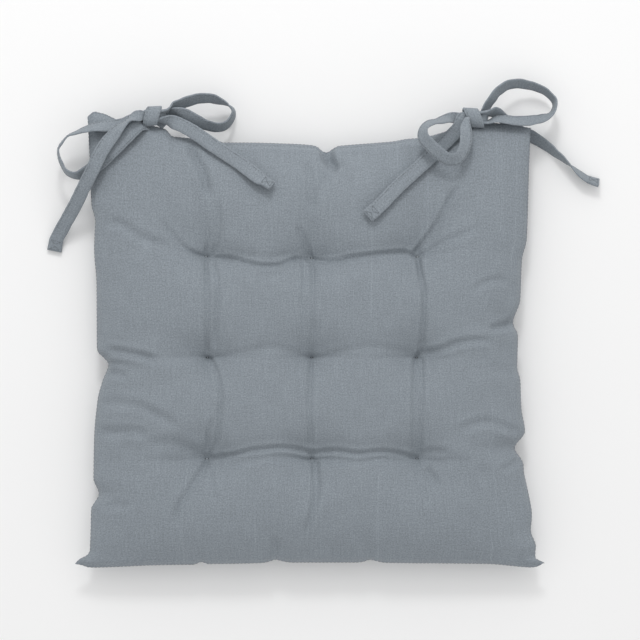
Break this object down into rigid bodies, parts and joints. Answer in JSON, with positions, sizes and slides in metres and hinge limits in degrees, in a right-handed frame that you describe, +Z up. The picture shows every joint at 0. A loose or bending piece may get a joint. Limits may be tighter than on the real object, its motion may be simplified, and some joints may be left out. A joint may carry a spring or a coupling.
{
  "type": "chair seat pad",
  "caption": "Square tufted seat pad with a knife-edge woven cover, fibre filling and fabric ties knotted in bows at the back corners.",
  "frame": {"origin": "centre of the pad's plan box, ties left out, on the surface that the pad lies on", "axes": "+Z up through the pad's thickness, +Y towards the back edge with the ties, +X to the right seen from above"},
  "size_m": [0.4692, 0.411, 0.0556],
  "materials": {
    "cover_cloth": "matt plain weave, grey-blue",
    "fibre_filling": "matt loose fibre, off-white",
    "sewing_thread": "matt spun thread, grey"
  },
  "bodies": {
    "root": {"top_cover": "cover_cloth", "bottom_cover": "cover_cloth", "filling": "fibre_filling", "tuft_stitch_1": "sewing_thread", "tuft_stitch_2": "sewing_thread", "tuft_stitch_3": "sewing_thread", "tuft_stitch_4": "sewing_thread", "tuft_stitch_5": "sewing_thread", "tuft_stitch_6": "sewing_thread", "tuft_stitch_7": "sewing_thread", "tuft_stitch_8": "sewing_thread", "tuft_stitch_9": "sewing_thread", "edge_seam_thread": "sewing_thread", "closing_seam_thread": "sewing_thread", "tie_left_outer": "cover_cloth", "tie_left_inner": "cover_cloth", "tie_right_inner": "cover_cloth", "tie_right_outer": "cover_cloth"}
  },
  "joints": []
}
